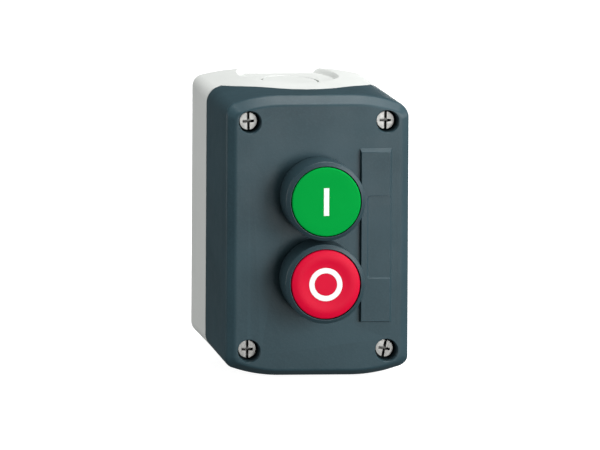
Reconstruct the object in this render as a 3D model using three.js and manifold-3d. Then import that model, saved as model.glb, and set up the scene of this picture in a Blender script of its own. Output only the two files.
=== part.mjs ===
// Two-button control station: a moulded two-part enclosure with a green start button above a red stop
// button, each with its own collar, return spring, fixing nut and contact block.
//
// Every piece is modelled as seen from the front: x to the right, y up and z out from the wall that the
// station is screwed to, in millimetres. The outer group then turns the station so that +Z is up and the
// front faces -Y.

import * as THREE from "three";
import { mergeVertices } from "three/addons/utils/BufferGeometryUtils.js";
import Module from "manifold-3d";

const wasm = await Module();
wasm.setup();

// ---------------------------------------------------------------- driving dimensions

const GAP = 0.3;                    // clearance left between neighbouring pieces

const enclosure = {
  depth: 53,                        // wall to front face
  wall: 2.6,
  floor: 3,
};

// Outlines seen from the front. Each has straight sides, round corners and shoulders that fall away in a
// long arc from a straight crown, the same at the top and the bottom.
const rearOutline = { halfWidth: 34, halfHeight: 52.8, crown: 12, shoulderRadius: 80, cornerRadius: 4.5 };
const rimOutline = { halfWidth: 34, halfHeight: 53, crown: 13, shoulderRadius: 50, cornerRadius: 6.5 };
const frontOutline = { halfWidth: 33.65, halfHeight: 51.85, crown: 13, shoulderRadius: 44, cornerRadius: 7.5 };
const faceOutline = { halfWidth: 30.5, halfHeight: 48.8, crown: 13, shoulderRadius: 40.8, cornerRadius: 5 };

const parting = {
  sideHeight: 23.3,                 // height of the base at the sides
  crownHeight: 40.5,                // height of the arch at the middle of the top and bottom
  archRadius: 32,
};

const cover = {
  faceThickness: 2.5,
  sideBevelDepth: 1.4,
  endBevelDepth: 4,
};

const controls = 0.5;               // the buttons and screws sit this far above the middle

const labelStrip = {
  left: 15.9,
  right: 27,
  middle: 0.4,
  halfHeight: 32,
  fieldHalfHeight: 15,
  raise: 1.2,
  fieldDrop: 0.25,
  chamfer: 1.7,
};

const coverScrew = {
  spacingX: 50.5,
  spacingY: 84,
  shankRadius: 2,
  headRadius: 3.45,
  headTop: 50.4,
  headThickness: 2.6,
  tip: 12,
  bossRadius: 5.5,
  bossEnd: 28.3,
  pillarRadius: 4.5,
  pillarTop: 26.3,
  counterboreRadius: 4.2,
  slotWidth: 1,
  crossHalfLength: 1.9,
  recessDepth: 1.3,
};

const knockOut = {
  fromWall: 15.5,
  radius: 10.25,
  grooveWidth: 0.6,
  grooveDepth: 1.4,
  spotFaceFromWall: 11.5,
  spotFaceRadius: 18.1,
  spotFaceHeight: 50.7,             // distance of the gland's seat from the middle of the station
  padHalfWidth: 19,
  padInner: 48.2,
  padTop: 30,
};

const wallSlot = { y: 38, radius: 2.25, halfRun: 2, sinkRadius: 4.5, sinkDepth: 1.2 };

const pitch = 30;                   // between the centres of the two buttons
const travel = 4.3;                 // how far a button goes in

const head = {
  barrelRadius: 11,
  boreRadius: 9.6,
  barrelEnd: 40,
  collarRadius: 14.4,
  rimRadius: 14,
  rimInnerRadius: 12.8,
  rimTop: 62.5,
  cupFloor: 55.8,
  ledgeTop: 44.7,
  ledgeThickness: 1.2,
  stemRadius: 3,
  stemEnd: 35.8,
  capRadius: 12.5,
  capTop: 62.75,
  capThickness: 2.45,
  discRadius: 8.6,
  discThickness: 2.4,
  nutRadius: 13.9,
  nutFront: 50.2,
  nutThickness: 5,
};

const legend = { barWidth: 2.1, barHeight: 10.2, ringOuter: 6.1, ringInner: 4, thickness: 0.55, fit: 0.15 };

const block = {
  halfLength: 21,
  halfWidth: 6.3,
  bottom: enclosure.floor + GAP,
  shelf: 17.2,
  towerHalfLength: 10.4,
  top: 26,
  cavityHalfLength: 9,
  cavityHalfWidth: 3.9,
  cavityBottom: 5.2,
  cavityTop: 22.4,
  plungerHalfLength: 3,
  plungerHalfWidth: 3.5,
  plungerTop: 35.5,
  plungerBottom: 9.9,
  windowHalfWidth: 2.3,
  stripThickness: 0.8,
  stripHalfWidth: 2.5,
  stripInnerEnd: 4.6,
  stripOuterEnd: 20.5,
  riser: 10.8,
  screwX: 16,
  screwShankRadius: 1.7,
  screwHeadRadius: 3.1,
  screwHeadThickness: 2.3,
  bridgeHalfLength: 7.8,
  bridgeHalfWidth: 2,
  bridgeThickness: 0.8,
};

const hook = { halfWidth: 3, thickness: 1.5, height: 9.1, nibReach: 1.2, nibBottom: 7.6 };

// Start closes its circuit when pressed, so its bridge waits above the fixed strips. Stop opens its
// circuit, so its bridge is held up against the underside of the strips.
const startContact = { name: "start", stripInner: 11.9, bridgeBottom: 15.6, window: [15.3, 22.5] };
const stopContact = { name: "stop", stripInner: 17.5, bridgeBottom: 16.4, window: [11.4, 19] };

// ---------------------------------------------------------------- materials

const finish = (color, roughness, metalness = 0) =>
  new THREE.MeshStandardMaterial({ color, roughness, metalness });

const materials = {
  lightGrey: () => finish(0xd3d4cf, 0.5),
  anthracite: () => finish(0x46545b, 0.55),
  darkPlastic: () => finish(0x2b3236, 0.5),
  green: () => finish(0x0aa342, 0.35),
  red: () => finish(0xe60a38, 0.35),
  white: () => finish(0xf5f7f6, 0.4),
  rubber: () => finish(0x1c1d1f, 0.85),
  zinc: () => finish(0xc9cac6, 0.35, 1),
  springSteel: () => finish(0xb4b6b8, 0.3, 1),
  brass: () => finish(0xc9a554, 0.35, 1),
  nylon: () => finish(0xe6e1d2, 0.6),
  blackPlastic: () => finish(0x1b1c1e, 0.5),
};

// ---------------------------------------------------------------- shapes and solids

// A closed geometry as a solid that can be joined and cut.
function solid(geometry) {
  const bare = geometry.clone();
  bare.deleteAttribute("normal");
  bare.deleteAttribute("uv");
  const merged = mergeVertices(bare, 1e-4);
  const index = merged.index.array;
  const triangles = [];
  for (let i = 0; i < index.length; i += 3) {
    const [a, b, c] = [index[i], index[i + 1], index[i + 2]];
    if (a !== b && b !== c && c !== a) {
      triangles.push(a, b, c);
    }
  }
  return new wasm.Manifold(new wasm.Mesh({
    numProp: 3,
    vertProperties: new Float32Array(merged.attributes.position.array),
    triVerts: new Uint32Array(triangles),
  }));
}

const join = (first, ...others) => others.reduce((body, other) => body.add(other), first);
const cut = (first, ...tools) => tools.reduce((body, tool) => body.subtract(tool), first);

function geometryOf(body) {
  const { vertProperties, triVerts } = body.getMesh();
  const geometry = new THREE.BufferGeometry();
  geometry.setAttribute("position", new THREE.BufferAttribute(vertProperties, 3));
  geometry.setIndex(new THREE.BufferAttribute(triVerts, 1));
  geometry.computeVertexNormals();
  return geometry;
}

function piece(name, body, material, parent) {
  const mesh = new THREE.Mesh(geometryOf(body), material);
  mesh.name = name;
  parent.add(mesh);
  return mesh;
}

function boxBetween(low, high) {
  const size = high.map((value, i) => value - low[i]);
  const middle = high.map((value, i) => (value + low[i]) / 2);
  return solid(new THREE.BoxGeometry(...size).translate(...middle));
}

// A box that is centred on x = 0 and y = 0.
const centredBox = (halfX, halfY, low, high) => boxBetween([-halfX, -halfY, low], [halfX, halfY, high]);

function cylinder(radius, low, high, x = 0, y = 0, sides = 16) {
  const geometry = new THREE.CylinderGeometry(radius, radius, high - low, sides);
  return solid(geometry.rotateX(Math.PI / 2).translate(x, y, (low + high) / 2));
}

// A cylinder along y, for the cable entries.
function uprightCylinder(radius, low, high, z, sides = 28) {
  const geometry = new THREE.CylinderGeometry(radius, radius, high - low, sides);
  return solid(geometry.translate(0, (low + high) / 2, z));
}

function prism(shape, low, high, curveSegments = 4) {
  const settings = { depth: high - low, bevelEnabled: false, curveSegments };
  return new THREE.ExtrudeGeometry(shape, settings).translate(0, 0, low);
}

// A profile of [radius, height] points turned about the z axis, listed anticlockwise.
function turned(profile, segments = 32) {
  const points = profile.map(([radius, height]) => new THREE.Vector2(radius, height));
  return solid(new THREE.LatheGeometry(points, segments).rotateX(Math.PI / 2));
}

const ring = (inner, outer, low, high, segments = 32) =>
  turned([[inner, low], [outer, low], [outer, high], [inner, high], [inner, low]], segments);

// A shape drawn in x and z, carried right across the station's height.
function acrossHeight(shape, curveSegments = 14) {
  const reach = rimOutline.halfHeight + 3;
  return solid(prism(shape, -reach, reach, curveSegments).rotateX(Math.PI / 2));
}

// A shape drawn in y and z, carried right across the station's width.
function acrossWidth(shape) {
  const reach = rimOutline.halfWidth + 3;
  const turn = new THREE.Matrix4().makeBasis(
    new THREE.Vector3(0, 1, 0), new THREE.Vector3(0, 0, 1), new THREE.Vector3(1, 0, 0));
  return solid(prism(shape, -reach, reach).applyMatrix4(turn));
}

function polygon(points) {
  return new THREE.Shape(points.map(([x, y]) => new THREE.Vector2(x, y)));
}

const CORNER_STEPS = 4;
const SHOULDER_STEPS = 3;

// One outline moved inwards by `inset`, as points that run anticlockwise. `rise` is how far the edge has
// turned from facing sideways (0) to facing up or down (1).
function outlinePoints(settings, inset = 0) {
  const side = settings.halfWidth - inset;
  const top = settings.halfHeight - inset;
  const shoulder = settings.shoulderRadius - inset;
  const corner = Math.max(settings.cornerRadius - inset, 1);
  const reach = side - corner - settings.crown;
  const centreY = top - shoulder + Math.sqrt((shoulder - corner) ** 2 - reach ** 2);
  const meet = Math.asin(reach / (shoulder - corner));
  const quarter = [];
  for (let i = 0; i <= CORNER_STEPS; i += 1) {
    const angle = (i / CORNER_STEPS) * (Math.PI / 2 - meet);
    const [x, y] = [side - corner + corner * Math.cos(angle), centreY + corner * Math.sin(angle)];
    quarter.push({ x, y, rise: Math.sin(angle) });
  }
  for (let i = 1; i <= SHOULDER_STEPS; i += 1) {
    const angle = meet * (1 - i / SHOULDER_STEPS);
    const [x, y] = [settings.crown + shoulder * Math.sin(angle), top - shoulder * (1 - Math.cos(angle))];
    quarter.push({ x, y, rise: Math.cos(angle) });
  }
  const place = (signX, signY) => quarter.map(({ x, y, rise }) => ({ x: signX * x, y: signY * y, rise }));
  return [...place(1, 1), ...place(-1, 1).reverse(), ...place(-1, -1), ...place(1, -1).reverse()];
}

const atHeight = (points, z) => points.map(({ x, y }) => new THREE.Vector3(x, y, z));

// A closed skin over rings of points, flat at both ends.
function loft(rings) {
  const count = rings[0].length;
  const vertices = rings.flat().flatMap(({ x, y, z }) => [x, y, z]);
  const triangles = [];
  for (let level = 0; level < rings.length - 1; level += 1) {
    for (let i = 0; i < count; i += 1) {
      const [a, b] = [level * count + i, level * count + (i + 1) % count];
      triangles.push(a, b, b + count, a, b + count, a + count);
    }
  }
  const last = (rings.length - 1) * count;
  const lid = (ring) => THREE.ShapeUtils.triangulateShape(ring.map(({ x, y }) => new THREE.Vector2(x, y)), []);
  lid(rings[0]).forEach(([a, b, c]) => triangles.push(a, c, b));
  lid(rings.at(-1)).forEach(([a, b, c]) => triangles.push(last + a, last + b, last + c));
  const geometry = new THREE.BufferGeometry();
  geometry.setAttribute("position", new THREE.Float32BufferAttribute(vertices, 3));
  geometry.setIndex(triangles);
  return solid(geometry);
}

// Where the cover's walls end and its bevel starts: deep at the top and bottom, shallow at the sides.
function bevelStart(rise) {
  return enclosure.depth - cover.sideBevelDepth - (cover.endBevelDepth - cover.sideBevelDepth) * rise ** 2;
}

// The cover's drafted walls at one height, moved inwards by `inset`.
function coverSection(z, inset = 0) {
  const rim = outlinePoints(rimOutline, inset);
  const front = outlinePoints(frontOutline, inset);
  return rim.map((from, i) => {
    const share = (z - parting.sideHeight) / (bevelStart(from.rise) - parting.sideHeight);
    const [x, y] = [from.x + share * (front[i].x - from.x), from.y + share * (front[i].y - from.y)];
    return new THREE.Vector3(x, y, z);
  });
}

// The body of the base, moved inwards by `inset`, before it is cut to the parting line.
function baseForm(low, inset = 0) {
  const high = parting.crownHeight + 2 + inset;
  return loft([
    atHeight(outlinePoints(rearOutline, inset), low),
    atHeight(outlinePoints(rimOutline, inset), parting.sideHeight),
    coverSection(high, inset)]);
}

// Everything on the wall side of the line where base and cover meet, moved forward by `offset`.
function behindParting(offset) {
  const reach = rimOutline.halfWidth + 3;
  const side = parting.sideHeight + offset;
  const centre = parting.crownHeight - parting.archRadius + offset;
  const springing = Math.asin((side - centre) / parting.archRadius);
  const shape = new THREE.Shape();
  shape.moveTo(-reach, -3);
  shape.lineTo(reach, -3);
  shape.lineTo(reach, side);
  shape.lineTo(parting.archRadius * Math.cos(springing), side);
  shape.absarc(0, centre, parting.archRadius, springing, Math.PI - springing, false);
  shape.lineTo(-reach, side);
  return acrossHeight(shape);
}

const screwPlaces = [
  { name: "upper_left", x: -coverScrew.spacingX / 2, y: controls + coverScrew.spacingY / 2, turn: 0.03 },
  { name: "upper_right", x: coverScrew.spacingX / 2, y: controls + coverScrew.spacingY / 2, turn: -0.02 },
  { name: "lower_left", x: -coverScrew.spacingX / 2, y: controls - coverScrew.spacingY / 2, turn: 0 },
  { name: "lower_right", x: coverScrew.spacingX / 2, y: controls - coverScrew.spacingY / 2, turn: -0.19 },
];

const headPlaces = [controls - pitch / 2, controls + pitch / 2];

// ---------------------------------------------------------------- enclosure

function snapHook(side, y) {
  const outer = side * (block.halfLength + 0.4 + hook.thickness);
  const inner = side * (block.halfLength + 0.4);
  const nib = side * (block.halfLength + 0.4 - hook.nibReach);
  const across = (a, b) => [Math.min(a, b), Math.max(a, b)];
  const [postLow, postHigh] = across(outer, inner);
  const [nibLow, nibHigh] = across(outer, nib);
  return join(
    boxBetween([postLow, y - hook.halfWidth, 1], [postHigh, y + hook.halfWidth, hook.height]),
    boxBetween([nibLow, y - hook.halfWidth, hook.nibBottom], [nibHigh, y + hook.halfWidth, hook.height]));
}

function slotPrism(radius, low, high, y) {
  const shape = new THREE.Shape();
  shape.moveTo(-wallSlot.halfRun, y - radius);
  shape.lineTo(wallSlot.halfRun, y - radius);
  shape.absarc(wallSlot.halfRun, y, radius, -Math.PI / 2, Math.PI / 2, false);
  shape.lineTo(-wallSlot.halfRun, y + radius);
  shape.absarc(-wallSlot.halfRun, y, radius, Math.PI / 2, Math.PI * 1.5, false);
  return solid(prism(shape, low, high, 6));
}

// The round seat of a cable gland and the groove around its knock-out disc.
function cableEntryCuts(side) {
  const { spotFaceHeight, grooveDepth, grooveWidth, radius, fromWall } = knockOut;
  const skin = side * spotFaceHeight;
  const beyond = side * (rimOutline.halfHeight + 2);
  const groove = side * (spotFaceHeight - grooveDepth);
  const span = (a, b) => [Math.min(a, b), Math.max(a, b)];
  const spotFace = uprightCylinder(knockOut.spotFaceRadius, ...span(skin, beyond), knockOut.spotFaceFromWall, 36);
  const grooveRing = cut(
    uprightCylinder(radius + grooveWidth, ...span(groove, beyond), fromWall),
    uprightCylinder(radius, ...span(groove - side, beyond + side), fromWall));
  return [spotFace, grooveRing];
}

function rearBase() {
  const { wall, floor } = enclosure;
  let body = cut(baseForm(0), baseForm(floor, wall)).intersect(behindParting(0));
  body = cut(body, cut(baseForm(floor, 1.1), behindParting(-1.8)));
  for (const side of [-1, 1]) {
    const inner = side * knockOut.padInner;
    const outer = side * (rimOutline.halfHeight - wall + 0.2);
    const [low, high] = [Math.min(inner, outer), Math.max(inner, outer)];
    body = join(body, boxBetween(
      [-knockOut.padHalfWidth, low, floor - 1], [knockOut.padHalfWidth, high, knockOut.padTop]));
  }
  for (const { x, y } of screwPlaces) {
    body = join(body, cylinder(coverScrew.pillarRadius, 1, coverScrew.pillarTop, x, y));
    body = cut(body, cylinder(
      coverScrew.shankRadius + GAP, floor + 4, coverScrew.pillarTop + 1, x, y, 10));
  }
  for (const y of headPlaces) {
    body = join(body, snapHook(-1, y), snapHook(1, y));
  }
  for (const side of [-1, 1]) {
    body = cut(body, ...cableEntryCuts(side));
    body = cut(body, slotPrism(wallSlot.radius, -1, floor + 1, side * wallSlot.y));
    body = cut(body, slotPrism(wallSlot.sinkRadius, floor - wallSlot.sinkDepth, floor + 1, side * wallSlot.y));
  }
  return body;
}

// A raised strip with chamfered edges and a slightly lower middle field.
function labelStripSolid() {
  const { left, right, middle, halfHeight, raise, chamfer, fieldHalfHeight, fieldDrop } = labelStrip;
  const face = enclosure.depth;
  const top = face + raise;
  const [bottomEdge, topEdge] = [middle - halfHeight, middle + halfHeight];
  const strip = boxBetween([left, bottomEdge, face - 1], [right, topEdge, top]);
  const slope = raise / chamfer;
  const endRoof = acrossWidth(polygon([
    [bottomEdge - 1, 0], [topEdge + 1, 0], [topEdge + 1, face - slope],
    [topEdge - chamfer, top], [bottomEdge + chamfer, top], [bottomEdge - 1, face - slope]]));
  const sideRoof = acrossHeight(polygon([
    [left - 1, 0], [right + 1, 0], [right + 1, face - slope], [right - chamfer, top],
    [left + 0.3, top], [left, face], [left - 1, face]]));
  const field = boxBetween(
    [left - 1, controls - fieldHalfHeight, top - fieldDrop], [right + 1, controls + fieldHalfHeight, top + 1]);
  return cut(strip.intersect(endRoof).intersect(sideRoof), field);
}

function frontCover() {
  const { depth, wall } = enclosure;
  const innerFace = depth - cover.faceThickness;
  const low = parting.sideHeight - 1;
  const bevelEdge = outlinePoints(frontOutline).map(({ x, y, rise }) => new THREE.Vector3(x, y, bevelStart(rise)));
  const outside = loft([coverSection(low), bevelEdge, atHeight(outlinePoints(faceOutline), depth)]);
  let body = cut(outside, loft([coverSection(low - 1, wall), coverSection(innerFace, wall)]), behindParting(GAP));
  for (const { x, y } of screwPlaces) {
    body = join(body, cylinder(coverScrew.bossRadius, coverScrew.bossEnd, innerFace + 0.2, x, y));
  }
  for (const { x, y } of screwPlaces) {
    const seat = coverScrew.headTop - coverScrew.headThickness - GAP;
    body = cut(body,
      cylinder(coverScrew.counterboreRadius, seat, depth + 2, x, y),
      cylinder(coverScrew.shankRadius + 0.4, coverScrew.bossEnd - 1, depth, x, y, 10));
  }
  body = join(body, labelStripSolid());
  for (const y of headPlaces) {
    body = cut(body, cylinder(head.barrelRadius + GAP, innerFace - 2, depth + 2, 0, y, 32));
  }
  return body;
}

function coverGasket() {
  const band = cut(baseForm(enclosure.floor, 1.4), baseForm(enclosure.floor - 1, 2.5));
  return cut(band.intersect(behindParting(0)), behindParting(-1.5));
}

function coverScrewSolid() {
  const { headTop, headThickness, headRadius, shankRadius, tip, slotWidth } = coverScrew;
  const seat = headTop - headThickness;
  const body = turned([
    [0, tip], [shankRadius - 0.6, tip], [shankRadius, tip + 1.2], [shankRadius, seat],
    [headRadius, seat], [headRadius, headTop - 0.6], [headRadius - 0.6, headTop], [0, headTop]], 16);
  const floor = headTop - coverScrew.recessDepth;
  const half = slotWidth / 2;
  return cut(body,
    centredBox(half, headRadius + 1, floor, headTop + 1),
    centredBox(coverScrew.crossHalfLength, half, floor, headTop + 1));
}

// ---------------------------------------------------------------- push heads

// One collar: a rim around the cap, a skirt over the panel gasket and a threaded barrel with a ledge that
// the return spring stands on.
function collarSolid() {
  const { barrelRadius, boreRadius, barrelEnd, collarRadius, rimRadius, rimInnerRadius, rimTop } = head;
  const { cupFloor, ledgeTop, ledgeThickness, stemRadius } = head;
  const face = enclosure.depth;
  const skirt = collarRadius - 1;
  const ledgeBottom = ledgeTop - ledgeThickness;
  const stemHole = stemRadius + GAP * 2;
  return turned([
    [boreRadius, barrelEnd], [barrelRadius, barrelEnd], [barrelRadius, face + 1.3], [skirt, face + 1.3],
    [skirt, face + GAP], [collarRadius, face + GAP], [collarRadius, rimTop - 2],
    [rimRadius, rimTop - 0.4], [rimRadius - 0.4, rimTop], [rimInnerRadius, rimTop],
    [rimInnerRadius, cupFloor], [boreRadius, cupFloor],
    [boreRadius, ledgeTop], [stemHole, ledgeTop], [stemHole, ledgeBottom],
    [boreRadius, ledgeBottom], [boreRadius, barrelEnd]], 32);
}

function capSolid(dish, pocket) {
  const { capRadius, capTop, capThickness } = head;
  const bottom = capTop - capThickness;
  const body = turned([
    [0, bottom], [capRadius, bottom], [capRadius, capTop - 0.5], [capRadius - 0.5, capTop],
    [capRadius - 1.6, capTop], [capRadius - 4.2, capTop - dish], [0, capTop - dish]], 32);
  return cut(body, pocket);
}

function fixingNutSolid() {
  const { nutRadius, nutFront, nutThickness, barrelRadius } = head;
  const notches = 8;
  const shape = new THREE.Shape();
  for (let i = 0; i < notches; i += 1) {
    const start = (i / notches) * Math.PI * 2;
    const land = start + (0.68 / notches) * Math.PI * 2;
    const next = ((i + 1) / notches) * Math.PI * 2;
    shape.absarc(0, 0, nutRadius, start, land, false);
    shape.lineTo((nutRadius - 1.1) * Math.cos(land), (nutRadius - 1.1) * Math.sin(land));
    shape.lineTo((nutRadius - 1.1) * Math.cos(next), (nutRadius - 1.1) * Math.sin(next));
  }
  return cut(
    solid(prism(shape, nutFront - nutThickness, nutFront, 2)),
    cylinder(barrelRadius + GAP, nutFront - nutThickness - 1, nutFront + 1, 0, 0, 24));
}

function plungerSolid() {
  const { stemRadius, stemEnd, capTop, capThickness, discRadius, discThickness } = head;
  const discTop = capTop - capThickness - GAP;
  const discBottom = discTop - discThickness;
  return turned([
    [0, stemEnd], [stemRadius - 0.4, stemEnd], [stemRadius, stemEnd + 0.4], [stemRadius, discBottom],
    [discRadius, discBottom], [discRadius, discTop], [0, discTop]], 20);
}

// The centre line of a coil spring.
class Coil extends THREE.Curve {
  constructor(radius, low, high, turns) {
    super();
    this.radius = radius;
    this.low = low;
    this.high = high;
    this.turns = turns;
  }

  getPoint(t, target = new THREE.Vector3()) {
    const angle = t * this.turns * Math.PI * 2;
    return target.set(
      this.radius * Math.cos(angle), this.radius * Math.sin(angle), this.low + t * (this.high - this.low));
  }
}

function springSolid(radius, wireRadius, low, high, turns) {
  const sides = 5;
  const section = new THREE.Shape();
  for (let i = 0; i < sides; i += 1) {
    const angle = (i / sides) * Math.PI * 2;
    const [x, y] = [wireRadius * Math.cos(angle), wireRadius * Math.sin(angle)];
    if (i === 0) {
      section.moveTo(x, y);
    } else {
      section.lineTo(x, y);
    }
  }
  const path = new Coil(radius, low + wireRadius, high - wireRadius, turns);
  const settings = { steps: turns * 8, bevelEnabled: false, extrudePath: path };
  return solid(new THREE.ExtrudeGeometry(section, settings));
}

function pushHead(colour, y, parts) {
  const group = new THREE.Group();
  group.position.set(0, y, 0);
  const { thickness, fit } = legend;
  const insertTop = head.capTop - parts.dish;
  const insertBottom = insertTop - thickness;
  const discBottom = head.capTop - head.capThickness - GAP - head.discThickness;
  const face = enclosure.depth;
  piece(`${colour}_collar`, collarSolid(), materials.anthracite(), group);
  piece(`${colour}_collar_gasket`, ring(head.barrelRadius + GAP, head.collarRadius - 1 - GAP,
    face + GAP, face + 1, 24), materials.rubber(), group);
  piece(`${colour}_fixing_nut`, fixingNutSolid(), materials.darkPlastic(), group);
  piece(`${colour}_button_cap`, capSolid(parts.dish, parts.insert(insertBottom - fit, insertTop + 1, fit)),
    parts.material(), group);
  piece(parts.insertName, parts.insert(insertBottom, insertTop, 0), materials.white(), group);
  piece(`${colour}_plunger`, plungerSolid(), materials.nylon(), group);
  piece(`${colour}_return_spring`, springSolid(6.6, 0.45, head.ledgeTop + GAP, discBottom - GAP, 5),
    materials.springSteel(), group);
  piece(`${colour}_stem_seal`, ring(head.stemRadius + GAP, 5.2, head.ledgeTop + GAP, head.ledgeTop + 2.1, 16),
    materials.rubber(), group);
  return group;
}

const startBar = (low, high, grow) =>
  centredBox(legend.barWidth / 2 + grow, legend.barHeight / 2 + grow, low, high);
const stopRing = (low, high, grow) => ring(legend.ringInner - grow, legend.ringOuter + grow, low, high);

// ---------------------------------------------------------------- contact blocks

function blockHousingSolid() {
  const b = block;
  let body = join(
    centredBox(b.halfLength, b.halfWidth, b.bottom, b.shelf),
    centredBox(b.towerHalfLength, b.halfWidth, b.shelf - 1, b.top));
  body = cut(body,
    centredBox(b.cavityHalfLength, b.cavityHalfWidth, b.cavityBottom, b.cavityTop),
    centredBox(b.plungerHalfLength + 0.35, b.plungerHalfWidth + 0.35, b.cavityTop - 1, b.top + 1));
  const stripRoom = b.stripHalfWidth + 0.35;
  const hookRoom = hook.halfWidth + 0.4;
  for (const side of [-1, 1]) {
    const span = (a, c) => [Math.min(side * a, side * c), Math.max(side * a, side * c)];
    const [trenchLow, trenchHigh] = span(b.cavityHalfLength - 0.5, b.riser + 1.4);
    const [notchLow, notchHigh] = span(b.halfLength - 1.2, b.halfLength + 1);
    body = cut(body,
      boxBetween([trenchLow, -stripRoom, 11.5], [trenchHigh, stripRoom, 18.8]),
      boxBetween([notchLow, -hookRoom, 7.2], [notchHigh, hookRoom, 9.5]),
      cylinder(b.screwShankRadius + GAP, 8, b.shelf + 1, side * b.screwX, 0, 12));
  }
  return body;
}

// A fixed contact strip. It runs from under the bridge to the terminal screw, with a step where the inner
// end lies lower than the terminal.
function stripSolid(side, inner) {
  const b = block;
  const outer = b.shelf + GAP;
  const t = b.stripThickness;
  const step = inner < outer - 1;
  const points = step
    ? [[b.stripInnerEnd, inner], [b.riser + t, inner], [b.riser + t, outer], [b.stripOuterEnd, outer],
       [b.stripOuterEnd, outer + t], [b.riser, outer + t], [b.riser, inner + t], [b.stripInnerEnd, inner + t]]
    : [[b.stripInnerEnd, outer], [b.stripOuterEnd, outer],
       [b.stripOuterEnd, outer + t], [b.stripInnerEnd, outer + t]];
  const width = b.stripHalfWidth;
  const profile = prism(polygon(points), -width, width).rotateX(Math.PI / 2);
  if (side < 0) {
    profile.rotateZ(Math.PI);
  }
  return cut(solid(profile), cylinder(b.screwShankRadius + GAP, outer - 2, outer + 3, side * b.screwX, 0, 12));
}

function terminalScrewSolid() {
  const b = block;
  const seat = b.shelf + b.stripThickness + GAP * 2;
  const top = seat + b.screwHeadThickness;
  const body = turned([
    [0, 8.5], [b.screwShankRadius, 8.5], [b.screwShankRadius, seat], [b.screwHeadRadius, seat],
    [b.screwHeadRadius, top - 0.4], [b.screwHeadRadius - 0.4, top], [0, top]], 12);
  return cut(body, centredBox(b.screwHeadRadius + 1, 0.4, top - 0.9, top + 1));
}

function contactPlungerSolid([low, high]) {
  const b = block;
  return cut(
    centredBox(b.plungerHalfLength, b.plungerHalfWidth, b.plungerBottom, b.plungerTop),
    centredBox(b.plungerHalfLength + 1, b.windowHalfWidth, low, high));
}

function contactBlock(contact, y) {
  const b = block;
  const group = new THREE.Group();
  group.position.set(0, y, 0);
  const { name, bridgeBottom, window } = contact;
  const bridgeTop = bridgeBottom + b.bridgeThickness;
  const springAbove = contact === startContact;
  const springSpan = springAbove ? [bridgeTop + GAP, window[1] - GAP] : [window[0] + GAP, bridgeBottom - GAP];
  piece(`${name}_contact_housing`, blockHousingSolid(), materials.blackPlastic(), group);
  piece(`${name}_contact_plunger`, contactPlungerSolid(window), materials.nylon(), group);
  piece(`${name}_contact_bridge`,
    centredBox(b.bridgeHalfLength, b.bridgeHalfWidth, bridgeBottom, bridgeTop), materials.brass(), group);
  piece(`${name}_contact_spring`, springSolid(1.5, 0.22, ...springSpan, 4), materials.springSteel(), group);
  for (const [label, side] of [["left", -1], ["right", 1]]) {
    piece(`${name}_terminal_${label}`, stripSolid(side, contact.stripInner), materials.brass(), group);
    const screw = piece(`${name}_terminal_screw_${label}`, terminalScrewSolid(), materials.zinc(), group);
    screw.position.set(side * b.screwX, 0, 0);
  }
  return group;
}

// ---------------------------------------------------------------- the station

const station = new THREE.Group();

piece("rear_base", rearBase(), materials.lightGrey(), station);
piece("front_cover", frontCover(), materials.anthracite(), station);
piece("cover_gasket", coverGasket(), materials.rubber(), station);

for (const { name, x, y, turn } of screwPlaces) {
  const screw = piece(`cover_screw_${name}`, coverScrewSolid(), materials.zinc(), station);
  screw.position.set(x, y, 0);
  screw.rotation.z = turn;
  const washer = piece(`retaining_washer_${name}`,
    ring(coverScrew.shankRadius + GAP, 4, coverScrew.pillarTop + 0.6, coverScrew.bossEnd - 0.4, 12),
    materials.nylon(), station);
  washer.position.set(x, y, 0);
}

station.add(pushHead("green", headPlaces[1], {
  dish: 0.05, insertName: "start_bar", insert: startBar, material: materials.green }));
station.add(pushHead("red", headPlaces[0], {
  dish: 0.35, insertName: "stop_ring", insert: stopRing, material: materials.red }));
station.add(contactBlock(startContact, headPlaces[1]));
station.add(contactBlock(stopContact, headPlaces[0]));

const upright = new THREE.Group();
upright.rotation.x = Math.PI / 2;
upright.add(station);

export default upright;
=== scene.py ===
"""Looks of a two-button control station: a light grey base, an anthracite cover, a green start button above a
red stop button, and what they hold inside.

Shapes are written as seen from the front, in millimetres: x to the right, y up and z out from the wall.
place() turns such a point into the frame, where +Z is up and the front faces -Y, in metres.
"""

import math

import bmesh
import bpy
from mathutils import Matrix, Vector


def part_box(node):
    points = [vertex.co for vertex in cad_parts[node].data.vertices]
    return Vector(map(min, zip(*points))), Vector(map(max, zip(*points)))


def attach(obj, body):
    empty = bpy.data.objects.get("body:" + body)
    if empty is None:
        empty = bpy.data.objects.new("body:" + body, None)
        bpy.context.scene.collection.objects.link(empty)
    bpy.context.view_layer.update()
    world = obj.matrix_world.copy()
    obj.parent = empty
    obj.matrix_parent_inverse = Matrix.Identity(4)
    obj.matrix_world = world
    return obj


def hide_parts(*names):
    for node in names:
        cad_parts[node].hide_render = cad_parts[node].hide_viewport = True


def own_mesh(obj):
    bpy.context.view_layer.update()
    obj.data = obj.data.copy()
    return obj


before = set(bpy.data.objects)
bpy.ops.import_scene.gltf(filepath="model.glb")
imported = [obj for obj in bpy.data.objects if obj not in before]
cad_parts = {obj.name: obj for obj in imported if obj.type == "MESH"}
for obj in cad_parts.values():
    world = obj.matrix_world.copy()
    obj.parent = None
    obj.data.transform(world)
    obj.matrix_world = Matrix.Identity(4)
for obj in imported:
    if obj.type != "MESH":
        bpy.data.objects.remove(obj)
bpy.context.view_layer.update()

MM = 0.001
scene = bpy.context.scene


def place(x, y, z):
    return Vector((x, -z, y)) * MM


def seen_from_front(node):
    """Lowest and highest corner of a CAD node, as seen from the front, in millimetres."""
    low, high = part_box(node)
    return (
        Vector((low.x, low.z, -high.y)) / MM,
        Vector((high.x, high.z, -low.y)) / MM,
    )


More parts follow.
